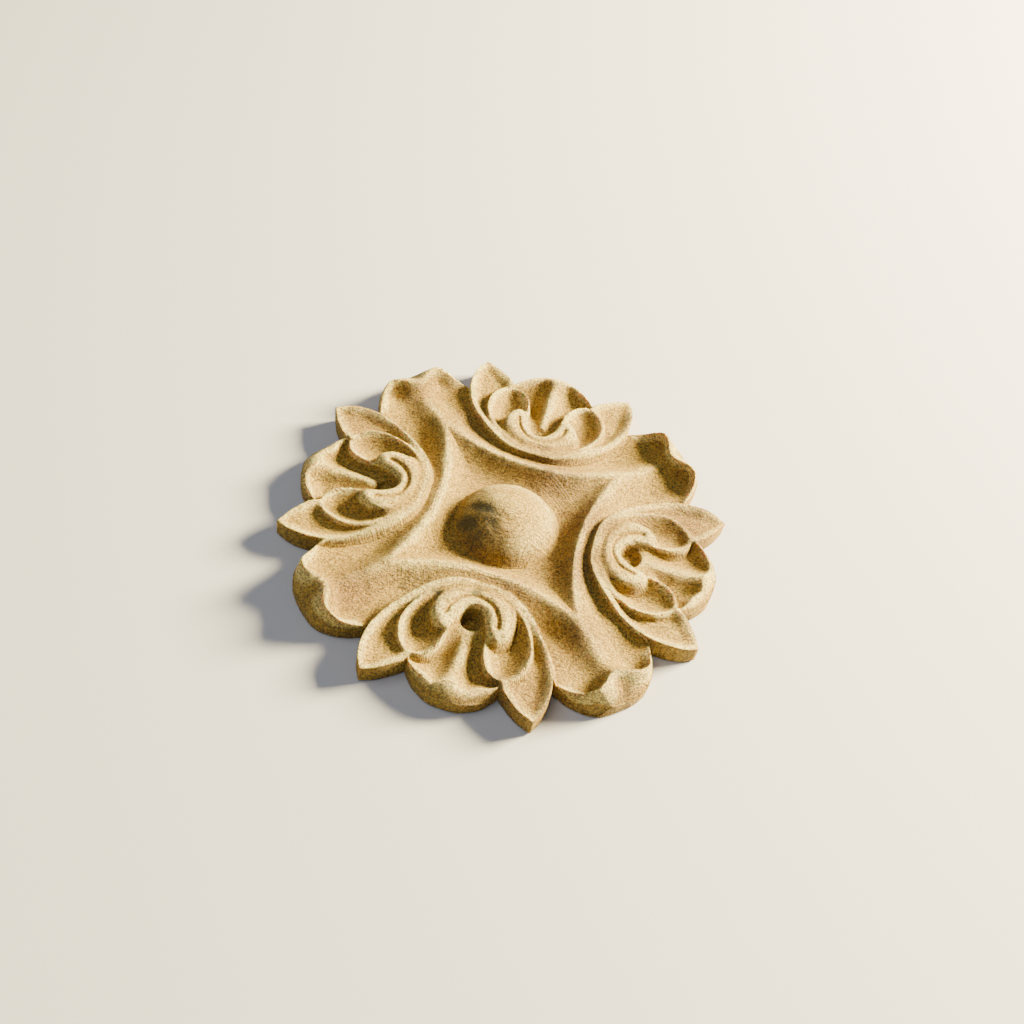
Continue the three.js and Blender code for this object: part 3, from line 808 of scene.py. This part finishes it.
# Relief too fine for the mesh: fibres, speckle, hatching, rings, and saw marks on the sawn faces
saw_place = add_node("ShaderNodeMapping", {
    "Vector": place, "Rotation": (0, 0, saw_turn),
    "Scale": (PER_MM / saw_spacing, PER_MM / saw_length, PER_MM / saw_length)})
saw = add_node("ShaderNodeTexNoise", {"Vector": saw_place, "Scale": 1.0, "Detail": 1.0})
saw_height = add_node("ShaderNodeMath", {0: saw, 1: marks_and_shade["Z"]}, operation="MULTIPLY")
height = add_node("ShaderNodeMath", {0: fibres, 1: 0.5, 2: speckle}, operation="MULTIPLY_ADD")
for share, mark_height in [(1.4, hatch_share), (0.7, ring_height), (1.5, saw_height)]:
    height = add_node(
        "ShaderNodeMath", {0: mark_height, 1: share, 2: height}, operation="MULTIPLY_ADD")
bump = add_node("ShaderNodeBump", {
    "Strength": 1.0, "Distance": relief_depth * MM, "Height": height})
tree.links.new(bump, shader.inputs["Normal"])

# Standing fibres make bare wood matt, and light goes about a mm into it
shader.inputs["Roughness"].default_value = 0.72
shader.inputs["Specular IOR Level"].default_value = 0.3
shader.inputs["Subsurface Weight"].default_value = 0.25
shader.inputs["Subsurface Radius"].default_value = (1.0, 0.4, 0.12)
shader.inputs["Subsurface Scale"].default_value = 0.9 * MM
relief_mesh.materials.append(wood)

# Floor and light
# A plain floor painted a matt pale grey, and soft studio light. The main light stands low at the
# back right and rakes over the carving, and a weak wide one opens the shadows.
floor_reach = 3.0
floor_level = -0.2 * MM
floor_mesh = bpy.data.meshes.new("floor")
corners = [(-1, -1), (1, -1), (1, 1), (-1, 1)]
floor_corners = [(a * floor_reach, b * floor_reach, floor_level) for a, b in corners]
floor_mesh.from_pydata(floor_corners, [], [(0, 1, 2, 3)])
floor = bpy.data.objects.new("floor", floor_mesh)
bpy.context.scene.collection.objects.link(floor)

floor_paint = bpy.data.materials.new("matt_pale_paint")
floor_paint.use_nodes = True
floor_shader = floor_paint.node_tree.nodes["Principled BSDF"]
floor_shader.inputs["Base Color"].default_value = linear("#B9B7B1")
floor_shader.inputs["Roughness"].default_value = 0.9
floor_mesh.materials.append(floor_paint)


def studio_light(name, azimuth, elevation, distance, size, power, colour):
    """A square area light at an angle round the onlay, facing its middle."""
    data = bpy.data.lights.new(name, "AREA")
    data.size = size
    data.energy = power
    data.color = linear(colour)[:3]
    light = bpy.data.objects.new(name, data)
    turn, rise = math.radians(azimuth), math.radians(elevation)
    side = Vector((
        math.cos(rise) * math.cos(turn),
        math.cos(rise) * math.sin(turn),
        math.sin(rise),
    ))
    light.location = side * distance
    light.rotation_euler = side.to_track_quat("Z", "Y").to_euler()
    bpy.context.scene.collection.objects.link(light)


studio_light(
    "key_softbox", azimuth=36, elevation=24, distance=0.8, size=0.26, power=103.0,
    colour="#FFEFC6")
studio_light(
    "fill_softbox", azimuth=215, elevation=60, distance=0.9, size=0.9, power=5.4,
    colour="#E2E9FF")

world = bpy.data.worlds.new("studio")
world.use_nodes = True
room = world.node_tree.nodes["Background"]
room.inputs["Color"].default_value = linear("#F2F2F2")
room.inputs["Strength"].default_value = 0.16
bpy.context.scene.world = world
